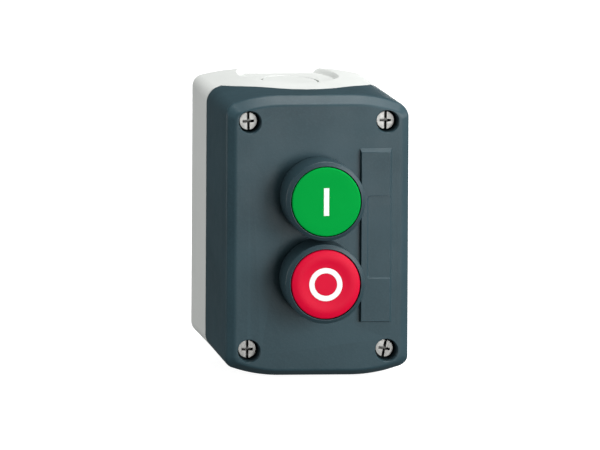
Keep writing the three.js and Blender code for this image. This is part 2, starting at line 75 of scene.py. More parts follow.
def middle_of(node):
    low, high = seen_from_front(node)
    return (low + high) / 2


# ---------------------------------------------------------------- sizes

base_low, base_high = seen_from_front("rear_base")
cover_low, cover_high = seen_from_front("front_cover")

HALF_WIDTH = base_high.x
HALF_HEIGHT = base_high.y
STRIP_RAISE = 1.2
DEPTH = cover_high.z - STRIP_RAISE      # wall to the cover's face
WALL = 2.6
FLOOR = 3
FACE_THICKNESS = 2.5

# Each outline has straight sides, round corners, and shoulders that fall away in a long arc from a straight
# crown, the same at the top and the bottom.
REAR = {"width": HALF_WIDTH, "height": HALF_HEIGHT - 0.2, "crown": 12, "shoulder": 80, "corner": 4.5}
RIM = {"width": HALF_WIDTH, "height": HALF_HEIGHT, "crown": 13, "shoulder": 50, "corner": 6.5}
FRONT = {"width": HALF_WIDTH - 0.35, "height": HALF_HEIGHT - 1.15, "crown": 13, "shoulder": 52, "corner": 5.3}
FACE = {"width": HALF_WIDTH - 3.5, "height": HALF_HEIGHT - 4.2, "crown": 13, "shoulder": 47, "corner": 3.3}

SIDE_HEIGHT = 23.3                      # height of the base at the sides
CROWN_HEIGHT = base_high.z              # height of its arch at the top and the bottom
ARCH_RADIUS = 32
PARTING_GAP = 0.12
SIDE_BEVEL_DEPTH = 1.4
END_BEVEL_DEPTH = 4.3

SCREWS = ("upper_left", "upper_right", "lower_left", "lower_right")
COUNTERBORE_RADIUS = 4
COUNTERBORE_CHAMFER = 0.45
HEAD_SEAT_DEPTH = 2.9                   # from the top of a screw's head to the floor of its counterbore
SHANK_HOLE_RADIUS = 2.4
BOSS_RADIUS = 5.5
BOSS_END = 28.3
HEAD_HOLE_RADIUS = 11.3
HEADS = {"green": middle_of("green_collar"), "red": middle_of("red_collar")}
CONTROLS = (HEADS["green"].y + HEADS["red"].y) / 2


# ---------------------------------------------------------------- outlines and profiles

CORNER_STEPS = 12
SHOULDER_STEPS = 10
SOFT_STEPS = 6


def outline(settings, inset=0):
    """Points (x, y, rise) round an outline, anticlockwise. rise goes from 0 on a side to 1 at the top and the
    bottom."""
    side = settings["width"] - inset
    top = settings["height"] - inset
    shoulder = settings["shoulder"] - inset
    corner = max(settings["corner"] - inset, 1)
    crown = settings["crown"]
    reach = side - corner - crown
    centre_y = top - shoulder + math.sqrt((shoulder - corner) ** 2 - reach ** 2)
    meet = math.asin(reach / (shoulder - corner))
    quarter = []
    for i in range(CORNER_STEPS + 1):
        angle = i / CORNER_STEPS * (math.pi / 2 - meet)
        x = side - corner + corner * math.cos(angle)
        quarter.append((x, centre_y + corner * math.sin(angle), math.sin(angle)))
    for i in range(1, SHOULDER_STEPS + 1):
        angle = meet * (1 - i / SHOULDER_STEPS)
        x = crown + shoulder * math.sin(angle)
        quarter.append((x, top - shoulder * (1 - math.cos(angle)), math.cos(angle)))
    upper_left = [(-x, y, rise) for x, y, rise in reversed(quarter)]
    lower_left = [(-x, -y, rise) for x, y, rise in quarter]
    lower_right = [(x, -y, rise) for x, y, rise in reversed(quarter)]
    return quarter + upper_left + lower_left + lower_right


def softened(points, closed=False):
    """A line of (point, softness) with each corner rounded over that length on both sides of it."""
    count = len(points)
    line = []
    for i, (corner, softness) in enumerate(points):
        corner = Vector(corner)
        if softness == 0 or (not closed and i in (0, count - 1)):
            line.append(corner)
            continue
        before = Vector(points[i - 1][0])
        after = Vector(points[(i + 1) % count][0])
        start = corner + (before - corner).normalized() * min(softness, (before - corner).length * 0.49)
        end = corner + (after - corner).normalized() * min(softness, (after - corner).length * 0.49)
        for step in range(SOFT_STEPS + 1):
            t = step / SOFT_STEPS
            line.append(start * (1 - t) ** 2 + corner * 2 * t * (1 - t) + end * t ** 2)
    return line


# ---------------------------------------------------------------- meshes

def mesh_object(name, points, faces):
    mesh = bpy.data.meshes.new(name)
    mesh.from_pydata([place(*point) for point in points], [], faces)
    work = bmesh.new()
    work.from_mesh(mesh)
    bmesh.ops.remove_doubles(work, verts=work.verts, dist=1e-3 * MM)
    bmesh.ops.recalc_face_normals(work, faces=work.faces)
    work.to_mesh(mesh)
    work.free()
    made = bpy.data.objects.new(name, mesh)
    scene.collection.objects.link(made)
    return made


def loft(name, rings):
    """A closed skin over rings of points, flat at both ends."""
    count = len(rings[0])
    points = [point for ring in rings for point in ring]
    faces = []
    for level in range(len(rings) - 1):
        for i in range(count):
            a = level * count + i
            b = level * count + (i + 1) % count
            faces.append((a, b, b + count, a + count))
    last = (len(rings) - 1) * count
    faces.append(tuple(range(count - 1, -1, -1)))
    faces.append(tuple(range(last, last + count)))
    return mesh_object(name, points, faces)


def lathe(name, profile, centre=(0, 0), segments=96, upright=False):
    """A profile of (radius, height) turned about an axis along z, or along y if upright, through centre.
    It starts and ends on the axis, or else closes on itself."""
    on_axis = profile[0][0] < 1e-6
    points = []
    rows = []
    for radius, height in profile:
        turns = 1 if radius < 1e-6 else segments
        rows.append([len(points) + i for i in range(turns)])
        for i in range(turns):
            angle = i / segments * math.tau
            across, along = radius * math.cos(angle), radius * math.sin(angle)
            if upright:
                points.append((centre[0] + across, height, centre[1] + along))
            else:
                points.append((centre[0] + across, centre[1] + along, height))
    pairs = list(zip(rows, rows[1:]))
    if not on_axis:
        pairs.append((rows[-1], rows[0]))
    faces = []
    for first, second in pairs:
        for i in range(segments):
            j = (i + 1) % segments
            if len(first) == 1 and len(second) == 1:
                continue
            if len(first) == 1:
                faces.append((first[0], second[j], second[i]))
            elif len(second) == 1:
                faces.append((first[i], first[j], second[0]))
            else:
                faces.append((first[i], first[j], second[j], second[i]))
    return mesh_object(name, points, faces)


def turned(name, corners, centre=(0, 0), segments=96, upright=False):
    """A lathe piece from (radius, height, softness) corners."""
    closed = corners[0][0] > 1e-6
    line = softened([((radius, height), soft) for radius, height, soft in corners], closed)
    return lathe(name, line, centre, segments, upright)


def block(name, low, high):
    (x0, y0, z0), (x1, y1, z1) = low, high
    return loft(name, [[(x0, y0, z), (x1, y0, z), (x1, y1, z), (x0, y1, z)] for z in (z0, z1)])


def prism(name, shape, low, high, axis="z"):
    """A flat outline carried from low to high along z, or along y for a shape drawn in x and z."""
    if axis == "z":
        return loft(name, [[(x, y, level) for x, y in shape] for level in (low, high)])
    return loft(name, [[(x, level, z) for x, z in shape] for level in (low, high)])


def baked(obj):
    """Applies the object's modifiers to its mesh."""
    graph = bpy.context.evaluated_depsgraph_get()
    old = obj.data
    obj.data = bpy.data.meshes.new_from_object(obj.evaluated_get(graph))
    obj.modifiers.clear()
    bpy.data.meshes.remove(old)
    return obj


def combined(body, operation, tools):
    for tool in tools:
        change = body.modifiers.new("combine", "BOOLEAN")
        change.operation = operation
        change.solver = "MANIFOLD"
        change.object = tool
        baked(body)
        bpy.data.objects.remove(tool)
    return body


def joined(body, *tools):
    return combined(body, "UNION", tools)


def cut(body, *tools):
    return combined(body, "DIFFERENCE", tools)


def common(body, *tools):
    return combined(body, "INTERSECT", tools)


def rounded_edges(obj, chosen, width, segments=3):
    """Rounds the edges that chosen(edge) picks."""
    work = bmesh.new()
    work.from_mesh(obj.data)
    bmesh.ops.dissolve_degenerate(work, dist=1e-4 * MM, edges=work.edges)
    edges = [edge for edge in work.edges if len(edge.link_faces) == 2 and chosen(edge)]
    bmesh.ops.bevel(work, geom=edges, offset=width * MM, offset_type="OFFSET", segments=segments, profile=0.5,
                    affect="EDGES", clamp_overlap=True, loop_slide=True)
    work.to_mesh(obj.data)
    work.free()
    return obj


def smooth(obj, angle=32):
    """Smooth shading that stays crisp at edges sharper than angle, with flat faces kept flat."""
    for face in obj.data.polygons:
        face.use_smooth = True
    obj.data.set_sharp_from_angle(angle=math.radians(angle))
    weighted = obj.modifiers.new("weighted", "WEIGHTED_NORMAL")
    weighted.keep_sharp = True
    weighted.weight = 60
    return obj


# ---------------------------------------------------------------- materials

def blank_material(name):
    made = bpy.data.materials.new(name)
    made.use_nodes = True
    tree = made.node_tree
    shader = tree.nodes["Principled BSDF"]
    place_node = tree.nodes.new("ShaderNodeTexCoord")
    return made, tree, shader, place_node.outputs["Object"]


def noise(tree, where, scale, detail=3, roughness=0.5):
    made = tree.nodes.new("ShaderNodeTexNoise")
    made.inputs["Scale"].default_value = scale
    made.inputs["Detail"].default_value = detail
    made.inputs["Roughness"].default_value = roughness
    tree.links.new(where, made.inputs["Vector"])
    return made.outputs["Fac"]


def between(tree, value, low, high, from_low=0.3, from_high=0.7):
    made = tree.nodes.new("ShaderNodeMapRange")
    made.inputs["From Min"].default_value = from_low
    made.inputs["From Max"].default_value = from_high
    made.inputs["To Min"].default_value = low
    made.inputs["To Max"].default_value = high
    tree.links.new(value, made.inputs["Value"])
    return made.outputs["Result"]


def blended(tree, share, first, second):
    """A colour between two, each a colour or an output."""
    made = tree.nodes.new("ShaderNodeMix")
    made.data_type = "RGBA"
    tree.links.new(share, made.inputs["Factor"])
    for socket, value in ((made.inputs[6], first), (made.inputs[7], second)):
        if isinstance(value, tuple):
            socket.default_value = (*value, 1)
        else:
            tree.links.new(value, socket)
    return made.outputs[2]


def bump(tree, height, distance, strength=1.0, under=None):
    made = tree.nodes.new("ShaderNodeBump")
    made.inputs["Distance"].default_value = distance * MM
    made.inputs["Strength"].default_value = strength
    tree.links.new(height, made.inputs["Height"])
    if under is not None:
        tree.links.new(under, made.inputs["Normal"])
    return made.outputs["Normal"]


def scaled(colour, factor):
    return tuple(min(channel * factor, 1) for channel in colour)


def moulded(name, colour, roughness, grain_size=0.35, grain_depth=0.02, edge=1.25, gloss=0.5, tone=0.06):
    """Injection-moulded plastic with a spark-eroded grain, slightly uneven tone and lighter edges."""
    made, tree, shader, where = blank_material(name)
    cloud = noise(tree, where, 45, 4)
    body = blended(tree, between(tree, cloud, 0, 1), scaled(colour, 1 - tone), scaled(colour, 1 + tone))
    speck = noise(tree, where, 1 / (grain_size * MM), 2)
    body = blended(tree, between(tree, speck, 0, 0.35, 0.45, 0.75), body, scaled(colour, 1 + tone * 3))
    pointy = tree.nodes.new("ShaderNodeNewGeometry").outputs["Pointiness"]
    body = blended(tree, between(tree, pointy, 0, 0.5, 0.52, 0.6), body, scaled(colour, edge))
    tree.links.new(body, shader.inputs["Base Color"])
    patchy = noise(tree, where, 120, 3)
    tree.links.new(between(tree, patchy, roughness - 0.04, roughness + 0.05), shader.inputs["Roughness"])
    shader.inputs["Specular IOR Level"].default_value = gloss
    coarse = bump(tree, noise(tree, where, 1 / (grain_size * 2.4 * MM), 2), grain_depth)
    tree.links.new(bump(tree, speck, grain_depth, 1, coarse), shader.inputs["Normal"])
    return made


def button_plastic(name, colour, roughness, scatter, gloss):
    """Glossier plastic of a button: even colour, faint flow marks and a little light under the skin."""
    made, tree, shader, where = blank_material(name)
    flow = noise(tree, where, 60, 3)
    tree.links.new(blended(tree, between(tree, flow, 0, 1), scaled(colour, 0.97), scaled(colour, 1.03)),
                   shader.inputs["Base Color"])
    fine = noise(tree, where, 900, 3)
    tree.links.new(between(tree, fine, roughness - 0.03, roughness + 0.04), shader.inputs["Roughness"])
    tree.links.new(bump(tree, noise(tree, where, 3000, 2), 0.006), shader.inputs["Normal"])
    shader.inputs["Specular IOR Level"].default_value = gloss
    shader.inputs["Subsurface Weight"].default_value = scatter
    shader.inputs["Subsurface Radius"].default_value = (0.0012, 0.0009, 0.0009)
    shader.inputs["Subsurface Scale"].default_value = 1
    return made


def metal(name, colour, roughness, scratch=0.5, shade_painted_below=None):
    """Plated or drawn metal with fine scratches and slight tarnish. Given a height, it is painted dark nearer
    the wall than that height: painted shade, as on the sides of a screw's head down in its counterbore."""
    made, tree, shader, where = blank_material(name)
    shader.inputs["Metallic"].default_value = 1
    stretch = tree.nodes.new("ShaderNodeMapping")
    stretch.inputs["Scale"].default_value = (1, 6, 1)
    tree.links.new(where, stretch.inputs["Vector"])
    marks = noise(tree, stretch.outputs["Vector"], 900, 4, 0.6)
    stain = noise(tree, where, 250, 3)
    skin = blended(tree, between(tree, stain, 0, 1), scaled(colour, 0.86), scaled(colour, 1.05))
    # Painted shade: below the given height the colour falls to 0.3 of itself, as in the shade of a
    # counterbore.
    if shade_painted_below is not None:
        parts = tree.nodes.new("ShaderNodeSeparateXYZ")
        tree.links.new(where, parts.inputs["Vector"])
        edge = -shade_painted_below * MM
        painted_shade = between(tree, parts.outputs["Y"], 0, 1, edge - 0.05 * MM, edge + 0.05 * MM)
        skin = blended(tree, painted_shade, skin, scaled(colour, 0.3))
    tree.links.new(skin, shader.inputs["Base Color"])
    tree.links.new(between(tree, marks, roughness - 0.08, roughness + 0.12), shader.inputs["Roughness"])
    tree.links.new(bump(tree, marks, 0.01, scratch), shader.inputs["Normal"])
    return made


def rubber_material(name, colour):
    made, tree, shader, where = blank_material(name)
    dust = noise(tree, where, 600, 4)
    tree.links.new(blended(tree, between(tree, dust, 0, 1), colour, scaled(colour, 1.9)),
                   shader.inputs["Base Color"])
    tree.links.new(between(tree, dust, 0.75, 0.95), shader.inputs["Roughness"])
    tree.links.new(bump(tree, noise(tree, where, 2500, 2), 0.02), shader.inputs["Normal"])
    return made


ANTHRACITE = (0.0275, 0.055, 0.067)
LIGHT_GREY = (0.64, 0.66, 0.64)

cover_plastic = moulded("anthracite_plastic", ANTHRACITE, 0.37, grain_size=0.8, gloss=0.18, tone=0.1)
base_plastic = moulded("light_grey_plastic", LIGHT_GREY, 0.5, edge=1.1, gloss=0.4, tone=0.02)
collar_plastic = moulded("collar_plastic", scaled(ANTHRACITE, 0.85), 0.4, grain_size=0.2, grain_depth=0.01,
                         gloss=0.28)
green_plastic = button_plastic("green_plastic", (0.0001, 0.305, 0.043), 0.5, 0.02, 0.02)
red_plastic = button_plastic("red_plastic", (0.625, 0.001, 0.031), 0.4, 0.02, 0.1)
white_plastic = button_plastic("white_plastic", (0.86, 0.88, 0.86), 0.35, 0, 0.06)
black_plastic = moulded("black_plastic", (0.012, 0.013, 0.014), 0.42, grain_size=0.25)
nut_plastic = moulded("dark_grey_plastic", (0.03, 0.036, 0.04), 0.45, grain_size=0.25)
nylon = moulded("natural_nylon", (0.78, 0.73, 0.60), 0.5, grain_size=0.3, edge=1.05, tone=0.02)
rubber = rubber_material("black_rubber", (0.011, 0.011, 0.012))
zinc = metal("zinc_plated_steel", (0.66, 0.66, 0.63), 0.42)
# The screws are painted dark, as shade, from 0.15 mm under the top of their heads down, where the
# counterbores shade them.
screw_zinc = metal("zinc_plated_screw", (0.38, 0.38, 0.365), 0.5, 1,
                   shade_painted_below=seen_from_front("cover_screw_upper_left")[1].z - 0.15)
spring_steel = metal("spring_steel", (0.5, 0.51, 0.52), 0.25, 0.3)
brass = metal("brass", (0.70, 0.49, 0.20), 0.28)


def dressed(obj, material, body, slot, *nodes):
    """Gives a piece its material and its body, and hides the CAD nodes that it stands for. slot is not used.
    """
    obj.data.materials.clear()
    obj.data.materials.append(material)
    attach(obj, body)
    if nodes:
        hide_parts(*nodes)
    return obj


# ---------------------------------------------------------------- enclosure forms

def bevel_start(rise):
    return DEPTH - SIDE_BEVEL_DEPTH - (END_BEVEL_DEPTH - SIDE_BEVEL_DEPTH) * rise ** 2


def cover_section(z, inset=0):
    """The cover's drafted walls at one height."""
    section = []
    for (x, y, rise), (front_x, front_y, _) in zip(outline(RIM, inset), outline(FRONT, inset)):
        share = (z - SIDE_HEIGHT) / (bevel_start(rise) - SIDE_HEIGHT)
        section.append((x + share * (front_x - x), y + share * (front_y - y), z))
    return section


def level(settings, z, inset=0):
    return [(x, y, z) for x, y, _ in outline(settings, inset)]


def base_form(name, low, inset=0):
    high = CROWN_HEIGHT + 2 + inset
    return loft(name, [level(REAR, low, inset), level(RIM, SIDE_HEIGHT, inset), cover_section(high, inset)])


def behind_parting(name, offset=0):
    """Everything on the wall side of the line where base and cover meet, moved forward by offset."""
    reach = HALF_WIDTH + 3
    side = SIDE_HEIGHT + offset
    centre = CROWN_HEIGHT - ARCH_RADIUS + offset
    springing = math.asin((side - centre) / ARCH_RADIUS)
    steps = 72
    shape = [(-reach, -3), (reach, -3), (reach, side)]
    for i in range(steps + 1):
        angle = springing + i / steps * (math.pi - 2 * springing)
        shape.append((ARCH_RADIUS * math.cos(angle), centre + ARCH_RADIUS * math.sin(angle)))
    shape.append((-reach, side))
    return prism(name, shape, -HALF_HEIGHT - 3, HALF_HEIGHT + 3, "y")


def parting_height(x):
    centre = CROWN_HEIGHT - ARCH_RADIUS
    if abs(x) >= ARCH_RADIUS:
        return SIDE_HEIGHT
    return max(SIDE_HEIGHT, centre + math.sqrt(ARCH_RADIUS ** 2 - x ** 2))


def on_outer_rim(edge, offset):
    """Whether an edge runs where an outer wall meets the parting surface."""
    middle = (edge.verts[0].co + edge.verts[1].co) / 2 / MM
    x, y, z = middle.x, middle.z, -middle.y
    if abs(z - parting_height(x) - offset) > 0.25 or edge.calc_face_angle(0) < math.radians(40):
        return False
    outward = Vector((x / HALF_WIDTH ** 2, 0, y / HALF_HEIGHT ** 2)).normalized()
    return any(face.normal.dot(outward) > 0.6 for face in edge.link_faces)


# ---------------------------------------------------------------- cover

STRIP = {"left": 15.2, "right": 26.8, "middle": 0.9, "half_height": 31.9}
STRIP_CHAMFER = {"left": 0.25, "right": 0.8, "top": 1.3, "bottom": 0.5}
STRIP_FIELD_LEFT = 18
STRIP_FIELD_HALF_HEIGHT = 15
STRIP_FIELD_SOFTNESS = 1.2
STRIP_FIELD_DROP = 0.45
STRIP_FIELD_SLOPE = 0.4                 # how far the field's left and lower walls lean out


def cover_outside():
    profiles = []
    starts = cover_section(SIDE_HEIGHT - 1)
    inner = outline(FACE, 2)
    for start, (front_x, front_y, rise), (face_x, face_y, _), (x, y, _) in zip(
            starts, outline(FRONT), outline(FACE), inner):
        profiles.append(softened([
            (start, 0), ((front_x, front_y, bevel_start(rise)), 1),
            ((face_x, face_y, DEPTH), 0.8), ((x, y, DEPTH), 0)]))
    rings = [[tuple(profile[i]) for profile in profiles] for i in range(len(profiles[0]))]
    return loft("front_cover_shell", rings)


def label_strip():
    """A raised strip for a label: three fields, the middle one slightly lower, with chamfered edges."""
    low = STRIP["middle"] - STRIP["half_height"]
    high = STRIP["middle"] + STRIP["half_height"]
    left, right = STRIP["left"], STRIP["right"]
    top = DEPTH + STRIP_RAISE
    roof_left, roof_right = left + STRIP_CHAMFER["left"], right - STRIP_CHAMFER["right"]
    roof_low, roof_high = low + STRIP_CHAMFER["bottom"], high - STRIP_CHAMFER["top"]
    foot = [(left, low), (right, low), (right, high), (left, high)]
    roof = [(roof_left, roof_low), (roof_right, roof_low), (roof_right, roof_high), (roof_left, roof_high)]
    strip = loft("label_strip", [
        [(x, y, DEPTH - 0.6) for x, y in foot],
        [(x, y, DEPTH) for x, y in foot],
        [(x, y, top) for x, y in roof]])
    rings = []
    for z, grow in ((top - STRIP_FIELD_DROP, 0), (top, STRIP_FIELD_SLOPE), (top + 2, STRIP_FIELD_SLOPE)):
        field_low = CONTROLS - STRIP_FIELD_HALF_HEIGHT - grow
        field_high = CONTROLS + STRIP_FIELD_HALF_HEIGHT
        field_left = STRIP_FIELD_LEFT - grow
        corners = softened([
            ((field_left, field_low), STRIP_FIELD_SOFTNESS), ((right + 2, field_low), 0),
            ((right + 2, field_high), 0), ((field_left, field_high), STRIP_FIELD_SOFTNESS)], closed=True)
        rings.append([(corner.x, corner.y, z) for corner in corners])
    cut(strip, loft("strip_field", rings))
    return rounded_edges(strip, lambda edge: edge.calc_face_angle(0) > math.radians(20)
                         and -edge.verts[0].co.y > (DEPTH + 0.1) * MM
                         and -edge.verts[1].co.y > (DEPTH + 0.1) * MM, 0.12)


def front_cover():
    body = cover_outside()
    inner_face = DEPTH - FACE_THICKNESS
    low = SIDE_HEIGHT - 1
    cut(body,
        loft("cover_inside", [cover_section(low - 1, WALL), cover_section(inner_face, WALL)]),
        behind_parting("cover_parting", PARTING_GAP))
    for screw in SCREWS:
        centre = middle_of(f"cover_screw_{screw}")
        joined(body, turned("boss", [
            (0, BOSS_END, 0), (BOSS_RADIUS, BOSS_END, 0.4), (BOSS_RADIUS, inner_face + 0.2, 0),
            (0, inner_face + 0.2, 0)], centre.xy, 48))
    for screw in SCREWS:
        centre = middle_of(f"cover_screw_{screw}")
        head_top = seen_from_front(f"cover_screw_{screw}")[1].z
        seat = head_top - HEAD_SEAT_DEPTH
        mouth = COUNTERBORE_RADIUS + COUNTERBORE_CHAMFER
        cut(body, turned("counterbore", [
            (0, seat, 0), (COUNTERBORE_RADIUS, seat, 0.4), (COUNTERBORE_RADIUS, DEPTH - 0.35, 0.3),
            (mouth, DEPTH + 0.1, 0), (mouth, DEPTH + 2, 0), (0, DEPTH + 2, 0)], centre.xy, 72))
        cut(body, turned("shank_hole", [
            (0, 20, 0), (SHANK_HOLE_RADIUS, 20, 0), (SHANK_HOLE_RADIUS, DEPTH, 0),
            (0, DEPTH, 0)], centre.xy, 32))
    joined(body, label_strip())
    for centre in HEADS.values():
        cut(body, turned("head_hole", [
            (0, inner_face - 2, 0), (HEAD_HOLE_RADIUS, inner_face - 2, 0), (HEAD_HOLE_RADIUS, DEPTH + 2, 0),
            (0, DEPTH + 2, 0)], centre.xy, 96))
    rounded_edges(body, lambda edge: on_outer_rim(edge, PARTING_GAP), 0.3)
    return smooth(body)


# ---------------------------------------------------------------- base

PAD_HALF_WIDTH = 19
PAD_INNER = 48.2
PAD_TOP = 30
ENTRY_FROM_WALL = 15.5
ENTRY_RADIUS = 10.25
SPOT_FACE_HEIGHT = 50.7
SPOT_FACE_FROM_WALL = 11.5
SPOT_FACE_RADIUS = 18.1
WALL_SLOT_Y = 38


def wall_slot(name, radius, low, high, y, half_run=2):
    shape = []
    for centre, start in ((half_run, -math.pi / 2), (-half_run, math.pi / 2)):
        for i in range(17):
            angle = start + i / 16 * math.pi
            shape.append((centre + radius * math.cos(angle), y + radius * math.sin(angle)))
    return prism(name, shape, low, high)


def snap_hook(side, y):
    inner = 21.4
    outer = inner + 1.5
    nib = inner - 1.2
    shape = [(inner, 1), (outer, 1), (outer, 9.1), (inner, 9.1), (nib, 7.9), (nib, 7.6), (inner, 7.6)]
    if side < 0:
        shape = [(-x, z) for x, z in reversed(shape)]
    return prism("hook", shape, y - 3, y + 3, "y")


def cable_entry_cuts(side):
    skin = side * SPOT_FACE_HEIGHT
    beyond = side * (HALF_HEIGHT + 2)
    spot_face = turned("spot_face", [
        (0, skin, 0), (SPOT_FACE_RADIUS - 0.5, skin, 0.4),
        (SPOT_FACE_RADIUS + 0.5, side * (HALF_HEIGHT - 0.9), 0.5),
        (SPOT_FACE_RADIUS + 1.6, side * (HALF_HEIGHT + 0.1), 0), (SPOT_FACE_RADIUS + 1.6, beyond, 0),
        (0, beyond, 0)], (0, SPOT_FACE_FROM_WALL), 128, upright=True)
    groove_floor = side * (SPOT_FACE_HEIGHT - 1.4)
    groove = turned("groove", [
        (ENTRY_RADIUS, groove_floor, 0), (ENTRY_RADIUS + 0.6, groove_floor, 0),
        (ENTRY_RADIUS + 0.6, skin - side * 0.2, 0.1), (ENTRY_RADIUS + 0.85, skin + side * 0.05, 0),
        (ENTRY_RADIUS + 0.85, beyond, 0), (ENTRY_RADIUS - 0.25, beyond, 0),
        (ENTRY_RADIUS - 0.25, skin + side * 0.05, 0), (ENTRY_RADIUS, skin - side * 0.2, 0.1)],
        (0, ENTRY_FROM_WALL), 128, upright=True)
    return [spot_face, groove]


def base_outside():
    profiles = []
    top = CROWN_HEIGHT + 2
    for (x, y, _), (rear_x, rear_y, _), (rim_x, rim_y, _), section in zip(
            outline(REAR, 3), outline(REAR), outline(RIM), cover_section(top)):
        profiles.append(softened([
            ((x, y, 0), 0), ((rear_x, rear_y, 0), 0.9), ((rim_x, rim_y, SIDE_HEIGHT), 0), (section, 0)]))
    rings = [[tuple(profile[i]) for profile in profiles] for i in range(len(profiles[0]))]
    return loft("rear_base_shell", rings)


def rear_base():
    body = base_outside()
    cut(body, base_form("base_inside", FLOOR, WALL))
    common(body, behind_parting("base_parting"))
    seat = base_form("gasket_seat", FLOOR, 1.1)
    cut(seat, behind_parting("seat_parting", -1.8))
    cut(body, seat)
    for side in (-1, 1):
        ends = sorted((side * PAD_INNER, side * (HALF_HEIGHT - WALL + 0.2)))
        joined(body, block("pad", (-PAD_HALF_WIDTH, ends[0], FLOOR - 1), (PAD_HALF_WIDTH, ends[1], PAD_TOP)))
    for screw in SCREWS:
        centre = middle_of(f"cover_screw_{screw}").xy
        joined(body, turned("pillar", [(0, 1, 0), (4.5, 1, 0), (4.5, 26.3, 0.3), (0, 26.3, 0)], centre, 48))
        cut(body, turned("pillar_hole", [
            (0, 7, 0), (2.3, 7, 0), (2.3, 26, 0.1), (2.6, 27.3, 0), (0, 27.3, 0)], centre, 32))
    for centre in HEADS.values():
        joined(body, snap_hook(-1, centre.y), snap_hook(1, centre.y))
    for side in (-1, 1):
        cut(body, *cable_entry_cuts(side))
        cut(body, wall_slot("slot", 2.25, -1, FLOOR + 1, side * WALL_SLOT_Y),
            wall_slot("sink", 4.5, FLOOR - 1.2, FLOOR + 1, side * WALL_SLOT_Y))
    rounded_edges(body, lambda edge: on_outer_rim(edge, 0), 0.35)
    return smooth(body)


# ---------------------------------------------------------------- screws

def cover_screw(name):
    """A pan-head screw with a slot right across and a cross recess."""
    node_name = f"cover_screw_{name}"
    low, high = seen_from_front(node_name)
    centre = ((low + high) / 2).xy
    top = high.z
    radius = (high.x - low.x) / 2
    seat = top - 2.6
    turn = {"upper_left": 0.03, "upper_right": -0.02, "lower_left": 0, "lower_right": -0.19}[name]
    corners = [(0, low.z, 0), (1.1, low.z, 0.3)]
    pitch = 0.7
    turns = 18
    for i in range(turns):
        z = low.z + 1 + i * pitch
        corners += [(1.55, z, 0), (2, z + pitch * 0.35, 0), (2, z + pitch * 0.45, 0),
                    (1.55, z + pitch * 0.8, 0)]
    corners += [(1.75, seat - 1, 0), (1.75, seat, 0.2), (radius, seat, 0.25), (radius, top - 0.25, 0.15),
                (radius - 0.25, top, 0.15), (0, top, 0)]
    body = turned(node_name + "_fine", corners, (0, 0), 72)
    recess = top - 1.3
    cut(body, block("slot", (-0.5, -radius - 1, recess), (0.5, radius + 1, top + 1)))
    cross = loft("cross", [[(-x, -0.5, z), (x, -0.5, z), (x, 0.5, z), (-x, 0.5, z)]
                           for x, z in ((1.5, recess - 0.3), (2.15, top + 0.1))])
    cut(body, cross)
    turned_mesh = Matrix.Rotation(-turn, 4, "Y")
    body.data.transform(Matrix.Translation(place(centre.x, centre.y, 0)) @ turned_mesh)
    return smooth(body, 40)


# ---------------------------------------------------------------- push heads

CAP_CREST = 9.8                         # radius of the highest ring on a cap
CAP_DISH = {"green": 0.05, "red": 0.35}
CAP_FALL = {"green": 0.05, "red": 0.4}
INSERT_THICKNESS = 0.55
BORE_RADIUS = 9.6                       # inside the collar's barrel
BARREL_RADIUS = 11
LIP_RADIUS = 12.8                       # inside the collar's rim
CUP_FLOOR = 55.8
LEDGE_TOP = 44.7
LEDGE_BOTTOM = 43.5
END_COIL_SPACING = 1.05                 # pitch of a spring's end coils, in wire thicknesses


def collar(colour):
    low, high = seen_from_front(f"{colour}_collar")
    centre = HEADS[colour].xy
    outer = (high.x - low.x) / 2
    top = high.z
    return smooth(turned(f"{colour}_collar_fine", [
        (BORE_RADIUS, low.z, 0.2), (BARREL_RADIUS, low.z, 0.4), (BARREL_RADIUS, DEPTH + 1.3, 0),
        (outer - 1, DEPTH + 1.3, 0), (outer - 1, DEPTH + 0.3, 0), (outer, DEPTH + 0.3, 0.2),
        (outer, top - 0.75, 0.25), (LIP_RADIUS + 0.25, top, 0.3), (LIP_RADIUS, top - 0.05, 0.15),
        (LIP_RADIUS, CUP_FLOOR, 0.2), (BORE_RADIUS, CUP_FLOOR, 0.2), (BORE_RADIUS, LEDGE_TOP, 0),
        (3.6, LEDGE_TOP, 0.1), (3.6, LEDGE_BOTTOM, 0.1), (BORE_RADIUS, LEDGE_BOTTOM, 0)], centre, 160))


def cap(colour, dish, fall, pocket):
    """A cap that falls away from a crest to its edge by fall, and inwards to its middle by dish."""
    low, high = seen_from_front(f"{colour}_button_cap")
    centre = HEADS[colour].xy
    radius = (high.x - low.x) / 2
    top = high.z
    body = turned(f"{colour}_cap_fine", [
        (0, low.z, 0), (radius, low.z, 0.2), (radius, top - fall - 0.25, 0.25),
        (radius - 0.3, top - fall, 0.3),
        (CAP_CREST, top, 1.6), (6.7, top - dish, 1.2), (0, top - dish, 0)], centre, 160)
    cut(body, pocket)
    return smooth(body)


def coil_spring(node_name, wire, turns):
    """A compression spring in its CAD node's room: round wire with a tight coil at each end."""
    low, high = seen_from_front(node_name)
    centre = (low + high) / 2
    radius = (high.x - low.x) / 2 - wire
    start, end = low.z + wire, high.z - wire
    steps, sides = 32, 10
    rings = []
    for i in range(turns * steps + 1):
        turn = i / steps
        angle = turn * math.tau
        share = max(0, min(turn - 1, turns - 2)) / (turns - 2)
        rise = 2 * wire * END_COIL_SPACING
        z = start + min(turn, 1) * rise + share * (end - start - 2 * rise) + max(0, turn - turns + 1) * rise
        out = Vector((math.cos(angle), math.sin(angle), 0))
        ring = []
        for side in range(sides):
            around = side / sides * math.tau
            point = out * (radius + wire * math.cos(around)) + Vector((0, 0, z + wire * math.sin(around)))
            ring.append((centre.x + point.x, centre.y + point.y, point.z))
        rings.append(ring)
    return smooth(loft(node_name + "_fine", rings), 60)


